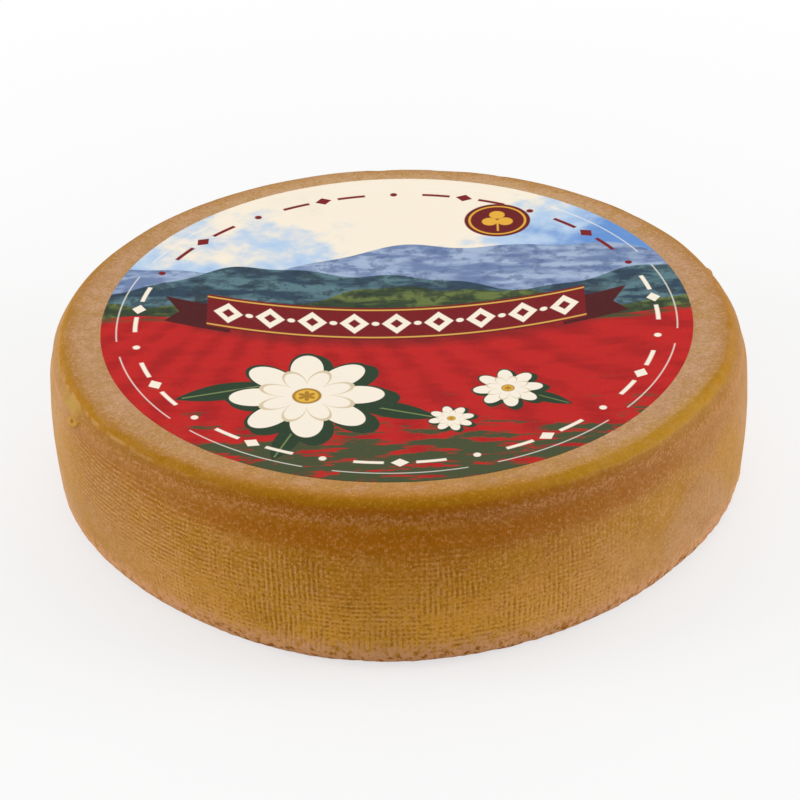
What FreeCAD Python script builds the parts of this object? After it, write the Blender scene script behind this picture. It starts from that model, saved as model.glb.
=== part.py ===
import FreeCAD, Part
import math
import os

import Sketcher

"""A whole wheel of washed-rind alpine cheese with a round paper label on its top face.

Millimetres, +Z up.  The origin is the middle of the flat face that the wheel rests on, and the
label reads from the -Y side.

The wheel is one solid, a little out of round as a hand-turned cheese is: slightly wider than
deep, with three low lobes.  Seen from above, its outline is six tangent arcs of 60 degrees each.
An arc's radius is the mean one, less what the oval and the lobes bend it more sharply there, and
its centre follows from the arcs before it.  A section of the edge is turned about each centre.
The section has the shape that the hoop and the press lid give: a rounded foot, a belly that
bulges slightly, a shoulder, a shallow cove where the lid's edge sat, and a rounded rim round a
flat top.
"""

# The driving dimensions: name, value in millimetres or degrees, meaning.
SIZES = [
    ("wheel_radius", 148.0, "mean radius of the outline at the belly"),
    ("wheel_height", 76.5, "resting face to top face"),
    ("oval_rise", 5.0, "how much further the outline reaches along X than along Y"),
    ("lobe_rise", 5.0, "how much further out a lobe reaches than the flat opposite"),
    ("outline_turn", 3.0, "turn of the outline about the axis, clockwise seen from above, degrees"),
    ("core_radius", 90.0, "radius of the plain middle that the turned sections join"),
    ("foot_rounding", 9.0, "radius of the bottom edge"),
    ("belly_level", 42.0, "height at which the wall reaches furthest out"),
    ("belly_rounding", 300.0, "radius of the wall's slight bulge, in section"),
    ("shoulder_drop", 22.5, "how far below the top the middle of the shoulder's curve lies"),
    ("shoulder_rounding", 12.0, "radius of the shoulder below the cove"),
    ("cove_rounding", 20.0, "radius of the cove between shoulder and rim"),
    ("rim_inset", 5.2, "how far the rim stands in from the belly"),
    ("rim_rounding", 5.2, "radius of the top edge"),
    ("label_margin", 10.9, "flat top left round the paper label, before its shift"),
    ("label_thickness", 0.25, "thickness of the paper label"),
    ("label_shift", 2.0, "how far the label lies off the middle, towards +Y"),
]

# The six arcs of the outline, named for the side that each faces: its direction from the wheel's
# axis in degrees, and whether it is one of the lobes (1) or one of the flats between them (-1).
ARC_SPAN = 60
ARCS = [
    ("Front", 270, 1),
    ("FrontRight", 330, -1),
    ("BackRight", 30, 1),
    ("Back", 90, -1),
    ("BackLeft", 150, 1),
    ("FrontLeft", 210, -1),
]

# How much a rise of one millimetre takes off an arc's radius, where it bends the outline most.
# They come from the chain of tangent arcs: six of them reach just one rise further out where a
# rise of one is asked for.
OVAL_BEND = 4 / (3 * (math.sqrt(3) - 1))
LOBE_BEND = math.sqrt(3) / (2 * (2 - math.sqrt(3)))

START, END, CENTRE = 1, 2, 3
ORIGIN = (-1, 1)


def make_sheet(doc):
    """The driving dimensions, one to a row: name, value, meaning."""
    sheet = doc.addObject("Spreadsheet::Sheet", "Sizes")
    for row, (alias, value, meaning) in enumerate(SIZES, start=1):
        sheet.set(f"A{row}", alias)
        sheet.set(f"B{row}", str(value))
        sheet.set(f"C{row}", meaning)
        sheet.setAlias(f"B{row}", alias)
    doc.recompute()
    return sheet


def origin_feature(body, role):
    return next(f for f in body.Origin.OriginFeatures if f.Role == role)


def new_sketch(body, name, role):
    sketch = body.newObject("Sketcher::SketchObject", name)
    sketch.AttachmentSupport = (origin_feature(body, role), "")
    sketch.MapMode = "FlatFace"
    return sketch


def dimension(sketch, name, constraint, expression):
    """Adds a constraint whose value follows an expression of the sheet's sizes."""
    index = sketch.addConstraint(constraint)
    sketch.renameConstraint(index, name)
    sketch.setExpression(f"Constraints.{name}", expression)


def circle_sketch(body, name, radius):
    sketch = new_sketch(body, name, "XY_Plane")
    first_size = 10
    ring = sketch.addGeometry(
        Part.Circle(FreeCAD.Vector(0, 0, 0), FreeCAD.Vector(0, 0, 1), first_size))
    sketch.addConstraint(Sketcher.Constraint("Coincident", ring, CENTRE, *ORIGIN))
    dimension(sketch, "radius", Sketcher.Constraint("Radius", ring, first_size), radius)
    return sketch


def pad(body, name, sketch, length):
    feature = body.newObject("PartDesign::Pad", name)
    feature.Profile = sketch
    feature.setExpression("Length", length)
    return feature


def arc(centre, radius, start, end):
    """An arc from the point start to the point end, anticlockwise round the centre."""
    circle = Part.Circle(centre, FreeCAD.Vector(0, 0, 1), radius)
    angles = [math.atan2(p.y - centre.y, p.x - centre.x) for p in (start, end)]
    return Part.ArcOfCircle(circle, angles[0], angles[1])


def towards(centre, other, radius):
    """The point of a circle that faces another point."""
    return centre + (other - centre).normalize() * radius


def outer_crossing(c1, r1, c2, r2):
    """Where two circles cross, on the side away from the wheel's axis."""
    step = c2 - c1
    gap = step.Length
    along = (r1 * r1 - r2 * r2 + gap * gap) / (2 * gap)
    aside = math.sqrt(r1 * r1 - along * along)
    step.normalize()
    return c1 + step * along + FreeCAD.Vector(step.y, -step.x, 0) * aside


def edge_section(sketch, sheet, reach, reach_now):
    """Half a section of the wheel, from the centre of its arc (x = 0) out to the wall.

    The arcs meet tangentially.  Their first places are worked out here, so that the solver
    starts from the right one of the ways in which tangent arcs can meet.
    """
    top = sheet.wheel_height
    foot_r = sheet.foot_rounding
    belly_r = sheet.belly_rounding
    shoulder_r = sheet.shoulder_rounding
    cove_r = sheet.cove_rounding
    rim_r = sheet.rim_rounding

    belly = FreeCAD.Vector(reach_now - belly_r, sheet.belly_level, 0)

    def inside_belly(level, radius):
        """Centre, at a level, of a circle that touches the belly's arc from inside."""
        out = math.sqrt((belly_r - radius) ** 2 - (level - belly.y) ** 2)
        return FreeCAD.Vector(belly.x + out, level, 0)

    foot = inside_belly(foot_r, foot_r)
    shoulder = inside_belly(top - sheet.shoulder_drop, shoulder_r)
    rim = FreeCAD.Vector(reach_now - sheet.rim_inset - rim_r, top - rim_r, 0)
    cove = outer_crossing(shoulder, shoulder_r + cove_r, rim, rim_r + cove_r)

    corner = FreeCAD.Vector(0, 0, 0)
    corner_top = FreeCAD.Vector(0, top, 0)
    foot_start = FreeCAD.Vector(foot.x, 0, 0)
    foot_end = belly + (foot - belly).normalize() * belly_r
    shoulder_start = belly + (shoulder - belly).normalize() * belly_r
    shoulder_end = towards(shoulder, cove, shoulder_r)
    rim_start = towards(rim, cove, rim_r)
    rim_end = FreeCAD.Vector(rim.x, top, 0)

    lines = [
        Part.LineSegment(corner, foot_start),
        arc(foot, foot_r, foot_start, foot_end),
        arc(belly, belly_r, foot_end, shoulder_start),
        arc(shoulder, shoulder_r, shoulder_start, shoulder_end),
        arc(cove, cove_r, rim_start, shoulder_end),
        arc(rim, rim_r, rim_start, rim_end),
        Part.LineSegment(rim_end, corner_top),
        Part.LineSegment(corner_top, corner),
    ]
    g_base, g_foot, g_belly, g_shoulder, g_cove, g_rim, g_top, g_axis = [
        sketch.addGeometry(line, False) for line in lines]
    g_reach = sketch.addGeometry(Part.Point(FreeCAD.Vector(reach_now, sheet.belly_level, 0)), True)

    for constraint in (
        ("Coincident", g_base, START, *ORIGIN),
        ("Horizontal", g_base),
        ("Tangent", g_base, END, g_foot, START),
        ("Tangent", g_foot, END, g_belly, START),
        ("Tangent", g_belly, END, g_shoulder, START),
        ("Tangent", g_shoulder, END, g_cove, END),
        ("Tangent", g_cove, START, g_rim, START),
        ("Tangent", g_rim, END, g_top, START),
        ("Horizontal", g_top),
        ("Coincident", g_top, END, g_axis, START),
        ("Coincident", g_axis, END, *ORIGIN),
        ("Vertical", g_axis),
        ("PointOnObject", g_reach, START, g_belly),
        ("Horizontal", g_reach, START, g_belly, CENTRE),
    ):
        sketch.addConstraint(Sketcher.Constraint(*constraint))

    def radius(name, line, size):
        dimension(sketch, name, Sketcher.Constraint("Radius", line, size), f"Sizes.{name}")

    def across(name, line, point, size, expression):
        rule = Sketcher.Constraint("DistanceX", *ORIGIN, line, point, size)
        dimension(sketch, name, rule, expression)

    def up(name, line, point, size, expression):
        rule = Sketcher.Constraint("DistanceY", *ORIGIN, line, point, size)
        dimension(sketch, name, rule, expression)

    radius("foot_rounding", g_foot, foot_r)
    radius("belly_rounding", g_belly, belly_r)
    radius("shoulder_rounding", g_shoulder, shoulder_r)
    radius("cove_rounding", g_cove, cove_r)
    radius("rim_rounding", g_rim, rim_r)
    across("reach", g_reach, START, reach_now, reach)
    across("rim_reach", g_rim, CENTRE, rim.x, f"{reach} - Sizes.rim_inset - Sizes.rim_rounding")
    up("belly_level", g_reach, START, sheet.belly_level, "Sizes.belly_level")
    up("shoulder_level", g_shoulder, CENTRE, shoulder.y,
       "Sizes.wheel_height - Sizes.shoulder_drop")
    up("wheel_height", g_top, START, top, "Sizes.wheel_height")


def bends(direction, lobe):
    """What one millimetre of oval_rise and of lobe_rise take off the radius of one arc."""
    return OVAL_BEND * math.cos(math.radians(2 * direction)), LOBE_BEND * lobe


def arc_centres():
    """Shares of oval_rise and lobe_rise in each arc's centre, as a pair of vectors for each.

    Tangent arcs have their joint on the line through both centres, so from one centre to the
    next it is the difference of the two radii, along that line.  The six together lie evenly
    about the axis.
    """
    centres = []
    shares = [FreeCAD.Vector(0, 0, 0), FreeCAD.Vector(0, 0, 0)]
    for (_, direction, lobe), (_, onward, next_lobe) in zip(ARCS, ARCS[1:] + ARCS[:1]):
        centres.append(tuple(shares))
        joint = math.radians(direction + ARC_SPAN / 2)
        along = FreeCAD.Vector(math.cos(joint), math.sin(joint), 0)
        changes = zip(bends(onward, next_lobe), bends(direction, lobe))
        shares = [share + along * (after - before)
                  for share, (after, before) in zip(shares, changes)]
    middle = [sum((pair[k] for pair in centres), FreeCAD.Vector(0, 0, 0)) * (1 / len(ARCS))
              for k in (0, 1)]
    return [(pair[0] - middle[0], pair[1] - middle[1]) for pair in centres]


def turned_edge(body, sheet, arc_facts, centre):
    """One arc of the outline: the edge's section, turned about the centre of that arc."""
    name, direction, lobe = arc_facts
    sketch = new_sketch(body, name + "Section", "XY_Plane")
    upright = FreeCAD.Rotation(FreeCAD.Vector(1, 0, 0), 90)
    facing = FreeCAD.Rotation(FreeCAD.Vector(0, 0, 1), direction)
    sketch.AttachmentOffset = FreeCAD.Placement(FreeCAD.Vector(0, 0, 0), facing * upright)
    for axis in ("x", "y"):
        oval, lobes = (getattr(share, axis) for share in centre)
        sketch.setExpression(
            f"AttachmentOffset.Base.{axis}",
            f"{oval:.6f} * Sizes.oval_rise + {lobes:.6f} * Sizes.lobe_rise")
    oval, lobes = bends(direction, lobe)
    reach = f"(Sizes.wheel_radius - {oval:.6f} * Sizes.oval_rise - {lobes:.6f} * Sizes.lobe_rise)"
    reach_now = sheet.wheel_radius - oval * sheet.oval_rise - lobes * sheet.lobe_rise
    edge_section(sketch, sheet, reach, reach_now)
    turned = body.newObject("PartDesign::Revolution", name + "Edge")
    turned.Profile = sketch
    turned.ReferenceAxis = (sketch, ["V_Axis"])
    turned.Midplane = True
    turned.Angle = ARC_SPAN
    return turned


def make_wheel(doc, sheet):
    body = doc.addObject("PartDesign::Body", "CheeseWheel")
    body.Label = "cheese_wheel"
    core = circle_sketch(body, "CoreCircle", "Sizes.core_radius")
    pad(body, "Core", core, "Sizes.wheel_height")
    for arc_facts, centre in zip(ARCS, arc_centres()):
        turned_edge(body, sheet, arc_facts, centre)
    body.Placement = FreeCAD.Placement(
        FreeCAD.Vector(0, 0, 0), FreeCAD.Rotation(FreeCAD.Vector(0, 0, -1), 1))
    body.setExpression("Placement.Rotation.Angle", "Sizes.outline_turn")
    return body


def make_label(doc):
    """A thin disc of paper that lies on the flat top, a margin in from where the rim begins."""
    body = doc.addObject("PartDesign::Body", "PaperLabel")
    body.Label = "paper_label"
    disc = circle_sketch(
        body, "LabelCircle",
        "Sizes.wheel_radius - Sizes.rim_inset - Sizes.rim_rounding - Sizes.label_margin")
    disc.setExpression("AttachmentOffset.Base.y", "Sizes.label_shift")
    disc.setExpression("AttachmentOffset.Base.z", "Sizes.wheel_height")
    pad(body, "Paper", disc, "Sizes.label_thickness")
    return body


def check(doc, bodies):
    """Stops unless every object was recomputed and every sub-part is a sound solid."""
    for item in doc.Objects:
        bad = [state for state in item.State if state in ("Invalid", "Error")]
        if bad:
            raise RuntimeError(f"{item.Name} is {bad}")
        if item.TypeId == "Sketcher::SketchObject" and item.solve() != 0:
            raise RuntimeError(f"{item.Name} is not solved")
    for body in bodies:
        shape = body.Shape
        if shape.isNull() or not shape.isValid() or len(shape.Solids) != 1:
            raise RuntimeError(f"{body.Label} is not one valid solid")


def main():
    doc = FreeCAD.newDocument("CheeseWheel")
    sheet = make_sheet(doc)
    bodies = [make_wheel(doc, sheet), make_label(doc)]
    doc.recompute()
    check(doc, bodies)
    os.makedirs("parts", exist_ok=True)
    for body in bodies:
        body.Shape.exportStep(f"parts/{body.Label}.step")
        box = body.Shape.optimalBoundingBox(False)
        print(f"{body.Label}: {len(body.Shape.Faces)} faces, {body.Shape.Volume / 1000:.2f} cm3,"
              f" {box.XLength:.2f} x {box.YLength:.2f} x {box.ZLength:.2f} mm")


main()
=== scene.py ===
"""The finish of a whole alpine cheese wheel with a round paper label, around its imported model.

Metres, +Z up.  The wheel rests on z = 0 and its axis passes through the origin.  The label reads
from -Y.  Bearings round the wheel count from -Y, the front, towards +X, its right.
"""

import math

import bpy
import numpy as np
from mathutils import Matrix, Vector, noise


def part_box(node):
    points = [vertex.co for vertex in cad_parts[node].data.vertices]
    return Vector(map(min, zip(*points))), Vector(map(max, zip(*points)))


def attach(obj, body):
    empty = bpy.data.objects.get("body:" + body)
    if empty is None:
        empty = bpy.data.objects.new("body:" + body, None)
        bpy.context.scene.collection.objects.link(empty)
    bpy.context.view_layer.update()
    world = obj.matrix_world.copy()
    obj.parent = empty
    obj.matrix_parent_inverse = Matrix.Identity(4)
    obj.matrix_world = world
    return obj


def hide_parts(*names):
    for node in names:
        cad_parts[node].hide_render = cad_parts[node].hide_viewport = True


MM = 0.001


# ---------------------------------------------------------------------------------------------
# Sizes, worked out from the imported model
# ---------------------------------------------------------------------------------------------

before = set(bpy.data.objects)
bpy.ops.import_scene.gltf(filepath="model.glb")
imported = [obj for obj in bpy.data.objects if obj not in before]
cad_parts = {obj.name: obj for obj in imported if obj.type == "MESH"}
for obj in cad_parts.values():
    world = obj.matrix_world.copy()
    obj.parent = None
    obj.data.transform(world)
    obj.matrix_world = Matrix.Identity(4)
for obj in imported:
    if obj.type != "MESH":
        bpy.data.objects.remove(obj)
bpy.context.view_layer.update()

WHEEL_LOW, WHEEL_HIGH = (Vector(corner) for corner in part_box("cheese_wheel"))
LABEL_LOW, LABEL_HIGH = (Vector(corner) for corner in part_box("paper_label"))

# The outline: a mean radius, an oval that is wider along X, and three low lobes.  Towards the
# rim the lobes die out, and turn over a little.
OVAL = 2.5 * MM
LOBES = 2.5 * MM
LOBES_LOST_AT_RIM = 1.15
OUTLINE_TURN = math.radians(-3.0)
HEIGHT = WHEEL_HIGH.z
RADIUS = (WHEEL_HIGH.x - WHEEL_LOW.x) / 2 - OVAL

# The section of the edge: levels above the floor, the radii of its arcs, how far the rim stands in
# from the belly, and how deep the top is dished.
FOOT_ROUNDING = 9.0 * MM
BELLY_LEVEL = 42.0 * MM
BELLY_ROUNDING = 300.0 * MM
SHOULDER_LEVEL = 54.0 * MM
SHOULDER_ROUNDING = 12.0 * MM
COVE_ROUNDING = 20.0 * MM
RIM_INSET = 5.2 * MM
RIM_ROUNDING = 5.2 * MM
TOP_DISH = 0.35 * MM

# The uneven forms of the edge, at their deepest.  Places count down the edge from the rim's crest.
PLACE_NOTE = "down_from_rim"
CREST_TURN = math.pi / 4
COVE_FILL = 2.3 * MM
CREASE_PLACE = 15.2 * MM
CREASE_WIDTH = 3.2 * MM
RIM_WIDTH = 7 * MM
FOOT_STAND = 1.9 * MM
FOOT_DRAW = 1.2 * MM

# A blister on the left of the wall, wider than tall and leaning to the front: a way along the
# wall counts by one share across the blister, and by the other down it.
BLISTER_BEARING = math.radians(-68)
BLISTER_PLACE = 9.5 * MM
BLISTER_NARROWING = 0.44
BLISTER_LEAN = 0.57
BLISTER_RING = 2.1 * MM

STEPS_AROUND = 320

LABEL_RADIUS = (LABEL_HIGH.x - LABEL_LOW.x) / 2
LABEL_MIDDLE = (LABEL_HIGH + LABEL_LOW) / 2
LABEL_THICKNESS = LABEL_HIGH.z - LABEL_LOW.z
LABEL_STEPS_AROUND = 256

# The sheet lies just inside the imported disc, and its edge lifts where the paper is cockled.
LABEL_TRIM = 0.5 * MM
LABEL_GAP = 0.02 * MM
LABEL_LIFT = 0.05 * MM
PAPER_SHARE = 0.7

# How close two vertices are to be one, and a vertex to a ring to be on it.
DOUBLES = 0.001 * MM
ON_RING = 0.01 * MM


# ---------------------------------------------------------------------------------------------
# Modelling helpers
# ---------------------------------------------------------------------------------------------

def make_active(piece):
    """Selects a piece alone and makes it active."""
    bpy.ops.object.select_all(action="DESELECT")
    piece.select_set(True)
    bpy.context.view_layer.objects.active = piece


def apply_modifier(piece, kind, **settings):
    """Adds a modifier, sets it up and applies it."""
    make_active(piece)
    modifier = piece.modifiers.new(kind.title(), kind)
    for key, value in settings.items():
        setattr(modifier, key, value)
    bpy.ops.object.modifier_apply(modifier=modifier.name)


def start_ring(name, radius, level, steps):
    """A bare ring of edges, left selected in edit mode as the start of a turned piece."""
    bpy.ops.object.select_all(action="DESELECT")
    bpy.ops.mesh.primitive_circle_add(
        vertices=steps, radius=radius, fill_type="NOTHING", location=(0, 0, level))
    piece = bpy.context.object
    piece.name = name
    bpy.ops.object.transform_apply(location=True)
    bpy.ops.object.mode_set(mode="EDIT")
    bpy.ops.mesh.select_mode(type="VERT")
    bpy.ops.mesh.select_all(action="SELECT")
    return piece


def draw_rings(stations, radius, level):
    """Extrudes the selected ring through (radius, level) stations, and tells where it ends."""
    for next_radius, next_level in stations:
        ratio = next_radius / radius
        bpy.ops.mesh.extrude_region_move(
            TRANSFORM_OT_translate={"value": (0, 0, next_level - level)})
        bpy.ops.transform.resize(value=(ratio, ratio, 1), center_override=(0, 0, 0))
        radius, level = next_radius, next_level
    return radius, level


def close_ring():
    """Draws the selected ring together to one point in its middle."""
    bpy.ops.mesh.extrude_region_move(TRANSFORM_OT_translate={"value": (0, 0, 0)})
    bpy.ops.mesh.merge(type="CENTER")


def select_ring(piece, radius, level):
    """Selects the ring of vertices at a radius and level, in edit mode."""
    bpy.ops.mesh.select_all(action="DESELECT")
    bpy.ops.object.mode_set(mode="OBJECT")
    for vertex in piece.data.vertices:
        out = math.hypot(vertex.co.x, vertex.co.y)
        vertex.select = abs(out - radius) < ON_RING and abs(vertex.co.z - level) < ON_RING
    bpy.ops.object.mode_set(mode="EDIT")


def finish_mesh(piece):
    """Merges doubles, turns the faces outwards and leaves edit mode."""
    bpy.ops.mesh.select_all(action="SELECT")
    bpy.ops.mesh.remove_doubles(threshold=DOUBLES)
    bpy.ops.mesh.normals_make_consistent(inside=False)
    bpy.ops.object.mode_set(mode="OBJECT")
    make_active(piece)
    bpy.ops.object.shade_smooth()


def smooth_step(low, high, value):
    """0 before low and 1 past high, smooth between; low may be the greater of the two."""
    share = min(max((value - low) / (high - low), 0.0), 1.0)
    return share * share * (3 - 2 * share)


def bump_at(value, middle, width):
    """A smooth hump, 1 at its middle and 0 beyond its width either side."""
    return 1 - smooth_step(0, width, abs(value - middle))


def bearing_of(x, y):
    """Bearing in radians from the front, -Y, towards +X: -pi to pi, with its jump at the back."""
    return math.atan2(x, -y)


def waves(spot, size, shift=(0, 0, 0)):
    """Smooth noise about 0, in waves of a size in millimetres."""
    return noise.noise(spot / (size * MM) + Vector(shift))


# ---------------------------------------------------------------------------------------------
# The wheel's shape
# ---------------------------------------------------------------------------------------------

def arc_points(centre, radius, start, end, steps):
    """Points of an arc between two angles in degrees, without the first."""
    points = []
    for step in range(1, steps + 1):
        angle = math.radians(start + (end - start) * step / steps)
        points.append((centre[0] + radius * math.cos(angle), centre[1] + radius * math.sin(angle)))
    return points


def edge_section():
    """The edge's section from the foot up to the top: (radius, level) pairs on a round wheel."""
    belly = (RADIUS - BELLY_ROUNDING, BELLY_LEVEL)

    def inside_belly(level, radius):
        out = math.sqrt((BELLY_ROUNDING - radius) ** 2 - (level - belly[1]) ** 2)
        return (belly[0] + out, level)

    def slope(centre, point):
        return math.degrees(math.atan2(point[1] - centre[1], point[0] - centre[0]))

    foot = inside_belly(FOOT_ROUNDING, FOOT_ROUNDING)
    shoulder = inside_belly(SHOULDER_LEVEL, SHOULDER_ROUNDING)
    rim = (RADIUS - RIM_INSET - RIM_ROUNDING, HEIGHT - RIM_ROUNDING)
    step_out, step_up = rim[0] - shoulder[0], rim[1] - shoulder[1]
    gap = math.hypot(step_out, step_up)
    near = SHOULDER_ROUNDING + COVE_ROUNDING
    far = RIM_ROUNDING + COVE_ROUNDING
    along = (near * near - far * far + gap * gap) / (2 * gap)
    aside = math.sqrt(near * near - along * along)
    cove = (shoulder[0] + (step_out * along + step_up * aside) / gap,
            shoulder[1] + (step_up * along - step_out * aside) / gap)
    points = [(foot[0], 0)]
    points += arc_points(foot, FOOT_ROUNDING, -90, slope(belly, foot), 8)
    points += arc_points(belly, BELLY_ROUNDING, slope(belly, foot), slope(belly, shoulder), 18)
    points += arc_points(
        shoulder, SHOULDER_ROUNDING, slope(belly, shoulder), slope(shoulder, cove), 6)
    points += arc_points(
        cove, COVE_ROUNDING, slope(cove, shoulder) % 360, slope(cove, rim) % 360, 7)
    points += arc_points(rim, RIM_ROUNDING, slope(rim, cove), 90, 10)
    return points


def down_from_rim(radii, levels, section):
    """For each vertex, how far down the section it lies from the crest of the rim.

    Negative on the top face.  The crest is where the rounding of the rim slopes at 45 degrees.
    """
    path = np.array(section[::-1])
    steps = np.diff(path, axis=0)
    lengths = np.hypot(steps[:, 0], steps[:, 1])
    starts = np.concatenate([[0], np.cumsum(lengths)])[:-1]
    spots = np.stack([radii, levels], axis=1)
    best = np.full(len(spots), np.inf)
    place = np.zeros(len(spots))
    for corner, step, length, start in zip(path[:-1], steps, lengths, starts):
        share = np.clip((spots - corner) @ step / length ** 2, 0, 1)
        gaps = np.linalg.norm(spots - corner - share[:, None] * step, axis=1)
        nearer = gaps < best
        best[nearer] = gaps[nearer]
        place[nearer] = start + share[nearer] * length
    crest = RIM_ROUNDING * CREST_TURN
    on_top = (levels > HEIGHT / 2) & (radii < path[0][0])
    place[on_top] = radii[on_top] - path[0][0]
    under = (levels < HEIGHT / 2) & (radii < path[-1][0])
    place[under] = starts[-1] + lengths[-1] + path[-1][0] - radii[under]
    return place - crest


def edge_spot(section, bearing, down):
    """The place on the even wheel at a bearing, some way down the edge from the rim's crest."""
    left = down + RIM_ROUNDING * CREST_TURN
    path = section[::-1]
    for (radius, level), (next_radius, next_level) in zip(path, path[1:]):
        step = math.hypot(next_radius - radius, next_level - level)
        if left <= step:
            radius += (next_radius - radius) * left / step
            level += (next_level - level) * left / step
            return Vector((radius * math.sin(bearing), -radius * math.cos(bearing), level))
        left -= step


def outline_push(angle, level):
    """How far the uneven outline stands out from the mean one; angle counts from +X."""
    turned = angle - OUTLINE_TURN
    oval = OVAL * math.cos(2 * turned)
    lobes = LOBES * math.sin(3 * turned)
    at_rim = smooth_step(0.72 * HEIGHT, 0.93 * HEIGHT, level)
    return oval + lobes * (1 - LOBES_LOST_AT_RIM * at_rim)


def side_share(bearing):
    """1 at the wheel's two sides, where the lid pressed no cove, and 0 along its front."""
    return smooth_step(math.radians(38), math.radians(72), abs(bearing))


def blister_gap(spot, middle):
    """How far out from the blister's middle a point lies, as the wide, leaning blister counts."""
    away = spot - middle
    along = away.x * math.cos(BLISTER_BEARING) + away.y * math.sin(BLISTER_BEARING)
    return math.hypot(BLISTER_NARROWING * along, BLISTER_LEAN * along - away.z)


def unevenness(spot, place, blister):
    """The dents, waves and creases of one wheel, as pushes out from the axis and up.

    spot and blister are points of the even wheel, place is the way down from the rim's crest.
    """
    bearing = bearing_of(spot.x, spot.y)
    sides = side_share(bearing)
    broad = waves(spot, 62)
    middling = waves(spot, 24, (7, 0, 0))
    small = waves(spot, 9, (0, 5, 0))
    on_wall = smooth_step(2 * MM, 12 * MM, place)
    out = on_wall * MM * (0.5 * broad + 0.22 * middling + 0.08 * small - 0.5) - 0.15 * MM
    # The cove is filled out towards the sides.
    out += sides * COVE_FILL * smooth_step(1 * MM, 7.5 * MM, place) * smooth_step(
        20 * MM, 9 * MM, place)
    # The lid's crease runs round under the cove, deepest along the front.
    crease_wander = 1.3 * MM * waves(spot, 45, (0, 0, 3))
    crease_depth = 0.12 + 0.6 * bump_at(bearing, math.radians(4), math.radians(68))
    crease_depth *= 0.7 + 0.6 * waves(spot, 30, (3, 1, 0))
    out -= MM * crease_depth * bump_at(place, CREASE_PLACE + crease_wander, CREASE_WIDTH)
    # The crest of the rim wavers and draws in a little, with nicks here and there.
    near_rim = bump_at(place, 1 * MM, RIM_WIDTH)
    nick = max(waves(spot, 11, (1, 4, 2)) - 0.25, 0)
    out += near_rim * MM * (0.5 * waves(spot, 33, (0, 0, 9)) - 0.25 - nick)
    up = near_rim * MM * (0.25 * waves(spot, 21) - 0.15 - 0.8 * nick)
    if place < 0:
        up -= TOP_DISH * smooth_step(1 * MM, 8 * MM, -place)
    # The foot stands out a little along the front and draws in beside it, and it is chipped
    # and crumbled where the wheel was turned on its boards.
    settled = bump_at(bearing, math.radians(-3), math.radians(38))
    drawn_in = bump_at(abs(bearing), math.radians(50), math.radians(36))
    out += FOOT_STAND * settled * smooth_step(58 * MM, 74 * MM, place)
    out -= FOOT_DRAW * drawn_in * smooth_step(34 * MM, 68 * MM, place)
    foot = smooth_step(66 * MM, 71 * MM, place) * smooth_step(84 * MM, 78 * MM, place)
    foot *= 0.4 + 0.6 * smooth_step(math.radians(-50), math.radians(-25), bearing)
    crumbs = waves(spot, 3.4) + 0.6 * waves(spot, 7)
    out += foot * MM * (0.5 * crumbs - 0.1)
    # A blister on the left, a ring of rind round a small hollow.
    gap = blister_gap(spot, blister)
    out += 0.9 * MM * bump_at(gap, BLISTER_RING, 1.6 * MM)
    out += 0.8 * MM * bump_at(gap, 0, 5 * MM)
    return out, up


def pushed(spot, place, blister):
    """Where a point of the even wheel comes to lie on the uneven one."""
    out, up = unevenness(spot, place, blister)
    radius = math.hypot(spot.x, spot.y)
    out += outline_push(math.atan2(spot.y, spot.x), spot.z)
    grow = 1 + out / RADIUS if radius > 0 else 1
    return Vector((spot.x * grow, spot.y * grow, max(spot.z + up, 0)))


def uneven_wheel(wheel, section):
    """Brings a true round wheel to the uneven one, and notes each vertex's place on the edge.

    Tells where the blister's middle comes to lie.
    """
    mesh = wheel.data
    spots = np.empty(len(mesh.vertices) * 3)
    mesh.vertices.foreach_get("co", spots)
    spots = spots.reshape(-1, 3)
    radii = np.hypot(spots[:, 0], spots[:, 1])
    places = down_from_rim(radii, spots[:, 2], section)
    note = mesh.attributes.new(PLACE_NOTE, "FLOAT", "POINT")
    note.data.foreach_set("value", places.astype("float32"))
    blister = edge_spot(section, BLISTER_BEARING, BLISTER_PLACE)
    for vertex, place in zip(mesh.vertices, places):
        vertex.co = pushed(vertex.co, place, blister)
    mesh.update()
    return pushed(blister, BLISTER_PLACE, blister)


def build_wheel():
    """Rings drawn up from the foot to the top and closed above and below."""
    section = edge_section()
    foot_radius, foot_level = section[0]
    wheel = start_ring("cheese_rind", foot_radius, foot_level, STEPS_AROUND)
    top_radius, top_level = draw_rings(section[1:], foot_radius, foot_level)
    inner = [top_radius - step * MM for step in (1.5, 3, 4.5, 6, 8, 10.5, 14, 20, 32, 50, 75, 105)]
    draw_rings([(radius, top_level) for radius in inner], top_radius, top_level)
    close_ring()
    select_ring(wheel, foot_radius, foot_level)
    under = [foot_radius * share for share in (0.985, 0.965, 0.94, 0.9, 0.8, 0.65, 0.45, 0.2)]
    draw_rings([(radius, foot_level) for radius in under], foot_radius, foot_level)
    close_ring()
    finish_mesh(wheel)
    apply_modifier(wheel, "SUBSURF", levels=1, render_levels=1, subdivision_type="SIMPLE")
    blister = uneven_wheel(wheel, section)
    return wheel, blister


# ---------------------------------------------------------------------------------------------
# The label's shape
# ---------------------------------------------------------------------------------------------

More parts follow.
